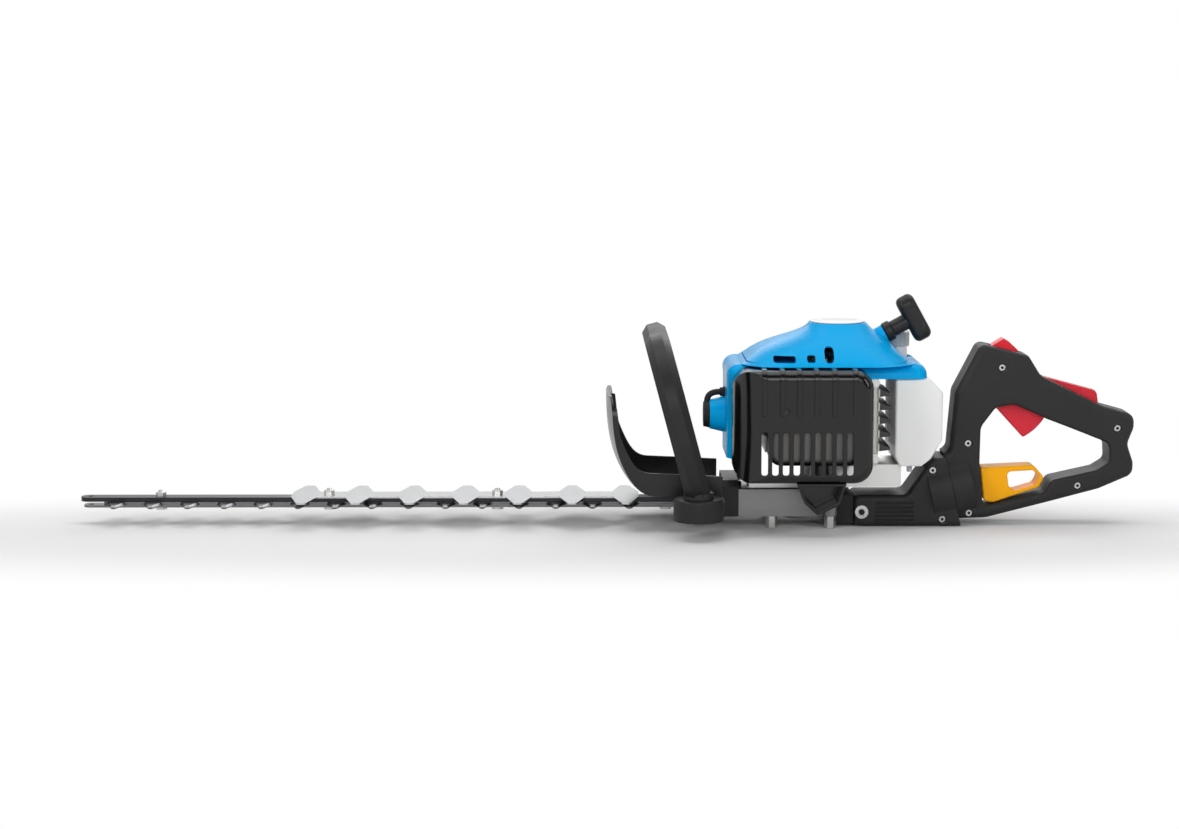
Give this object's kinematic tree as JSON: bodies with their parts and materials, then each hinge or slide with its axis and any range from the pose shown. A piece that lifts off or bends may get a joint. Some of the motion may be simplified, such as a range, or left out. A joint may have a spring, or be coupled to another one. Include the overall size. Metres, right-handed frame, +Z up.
{
  "type": "petrol hedge trimmer",
  "caption": "Petrol hedge trimmer: long double-sided toothed blade, bail front handle with scoop guard, hooded engine with pull starter, and a swivelling looped rear handle.",
  "frame": {"origin": "middle of the bounding box in plan, on the ground plane under the machine", "axes": "+X along the blade towards the rear handle, +Z up, +Y to the air cleaner side"},
  "size_m": [1.035, 0.25, 0.2263],
  "materials": {
    "blade_steel": "ground",
    "bar_steel": "ground",
    "comb_steel": "polished",
    "machined_steel": "machined",
    "zinc_fasteners": "zinc plated",
    "grey_casting": "cast",
    "bare_aluminium": "cast",
    "black_plastic": "satin",
    "black_grip": "matte",
    "black_gloss": "glossy",
    "black_paint": "glossy",
    "muffler_steel": "heat dulled",
    "charcoal_plastic": "fine grain",
    "crimson_plastic": "satin",
    "red_plastic": "satin",
    "orange_plastic": "satin",
    "blue_plastic": "glossy",
    "tank_plastic": "translucent",
    "cap_plastic": "satin",
    "rubber_parts": "matte",
    "rope_fibre": "braided",
    "filter_felt": "felt"
  },
  "bodies": {
    "machine": {"air_cleaner_cover": "black_plastic", "air_cleaner_plate": "black_plastic", "air_filter": "filter_felt", "base_bolt": "zinc_fasteners", "base_screws": "zinc_fasteners", "blade_bolts": "zinc_fasteners", "blade_nuts": "zinc_fasteners", "blade_retainer": "blade_steel", "blunt_tooth_comb": "comb_steel", "carburettor": "bare_aluminium", "case_screws": "zinc_fasteners", "cleaner_knob": "black_plastic", "clutch_housing": "bare_aluminium", "crankcase": "bare_aluminium", "cylinder": "bare_aluminium", "engine_cover": "blue_plastic", "exhaust_deflector": "black_paint", "foot_screws": "zinc_fasteners", "front_handle": "black_grip", "fuel_tank": "tank_plastic", "gear_bearing": "machined_steel", "gear_case": "grey_casting", "gear_case_bolts": "zinc_fasteners", "gear_case_cover": "grey_casting", "guide_bar": "bar_steel", "hand_guard": "black_gloss", "handle_bracket": "black_plastic", "muffler": "muffler_steel", "muffler_cover": "black_paint", "plug_cap": "rubber_parts", "rope_guide": "black_plastic", "spark_plug": "zinc_fasteners", "swivel_base_left": "charcoal_plastic", "swivel_base_right": "charcoal_plastic", "vibration_mount": "rubber_parts"},
    "upper_blade": {"upper_blade": "blade_steel", "upper_con_rod": "machined_steel", "upper_eccentric": "machined_steel"},
    "lower_blade": {"lower_blade": "blade_steel", "lower_con_rod": "machined_steel", "lower_eccentric": "machined_steel"},
    "drive_gear": {"drive_gear": "machined_steel"},
    "clutch_drum": {"clutch_drum": "machined_steel", "pinion": "machined_steel"},
    "crankshaft": {"crankshaft": "machined_steel", "clutch_shoes": "machined_steel", "flywheel": "bare_aluminium"},
    "starter_grip": {"starter_grip": "black_plastic", "starter_rope": "rope_fibre"},
    "starter_reel": {"starter_reel": "black_plastic"},
    "rear_handle": {"rear_handle_left": "charcoal_plastic", "rear_handle_right": "charcoal_plastic", "control_pins": "machined_steel", "handle_screws": "zinc_fasteners"},
    "throttle_trigger": {"throttle_trigger": "crimson_plastic"},
    "lockout_lever": {"lockout_lever": "crimson_plastic"},
    "stop_switch": {"stop_switch": "red_plastic"},
    "swivel_lock_lever": {"swivel_lock_lever": "orange_plastic"},
    "fuel_cap": {"fuel_cap": "cap_plastic"},
    "choke_lever": {"choke_lever": "black_plastic"}
  },
  "joints": [
    {"name": "upper_blade_slide", "type": "slide", "parent": "machine", "child": "upper_blade", "axis": [1, 0, 0], "range_m": [-0.009, 0.009]},
    {"name": "lower_blade_slide", "type": "slide", "parent": "machine", "child": "lower_blade", "axis": [1, 0, 0], "range_m": [-0.009, 0.009]},
    {"name": "drive_gear_spin", "type": "hinge", "parent": "machine", "child": "drive_gear", "pos_m": [0.199, 0, 0.025], "axis": [0, 0, 1], "continuous": true},
    {"name": "clutch_drum_spin", "type": "hinge", "parent": "machine", "child": "clutch_drum", "pos_m": [0.227, 0, 0.045], "axis": [0, 0, 1], "continuous": true},
    {"name": "crankshaft_spin", "type": "hinge", "parent": "machine", "child": "crankshaft", "pos_m": [0.227, 0, 0.1], "axis": [0, 0, 1], "continuous": true},
    {"name": "starter_pull", "type": "slide", "parent": "machine", "child": "starter_grip", "axis": [0.8746, 0, 0.4848], "range_m": [0, 0.4], "stiffness_N_per_m": 15, "springref_m": -0.5},
    {"name": "starter_reel_spin", "type": "hinge", "parent": "machine", "child": "starter_reel", "pos_m": [0.227, 0, 0.175], "axis": [0, 0, 1], "range_deg": [0, 1150]},
    {"name": "rear_handle_swivel", "type": "hinge", "parent": "machine", "child": "rear_handle", "pos_m": [0.3397, 0, 0.036], "axis": [0.9728, 0, 0.2317], "range_deg": [-90, 90]},
    {"name": "throttle_pull", "type": "hinge", "parent": "rear_handle", "child": "throttle_trigger", "pos_m": [0.3857, 0, 0.1327], "axis": [0, -1, 0], "range_deg": [0, 20], "stiffness_Nm_per_rad": 0.3, "springref_deg": -17.19},
    {"name": "lockout_press", "type": "hinge", "parent": "rear_handle", "child": "lockout_lever", "pos_m": [0.4315, 0, 0.138], "axis": [0, 1, 0], "range_deg": [0, 9], "stiffness_Nm_per_rad": 0.3, "springref_deg": -17.19},
    {"name": "stop_rock", "type": "hinge", "parent": "rear_handle", "child": "stop_switch", "pos_m": [0.3905, 0, 0.1685], "axis": [0, -1, 0], "range_deg": [0, 16]},
    {"name": "swivel_lock_pull", "type": "slide", "parent": "rear_handle", "child": "swivel_lock_lever", "axis": [0.9728, 0, 0.2317], "range_m": [0, 0.0045], "stiffness_N_per_m": 800, "springref_m": -0.004},
    {"name": "fuel_cap_turn", "type": "hinge", "parent": "machine", "child": "fuel_cap", "pos_m": [0.291, 0.034, 0.179], "axis": [0, 0, 1], "continuous": true},
    {"name": "choke_turn", "type": "hinge", "parent": "machine", "child": "choke_lever", "pos_m": [0.173, 0.0833, 0.118], "axis": [0, 1, 0], "range_deg": [0, 60]}
  ],
  "couplings": [
    {"joint": "lower_blade_slide", "follows": "upper_blade_slide", "ratio": -1},
    {"joint": "clutch_drum_spin", "follows": "drive_gear_spin", "ratio": -3.6667},
    {"joint": "starter_reel_spin", "follows": "starter_pull", "rad_per_m": 50}
  ]
}
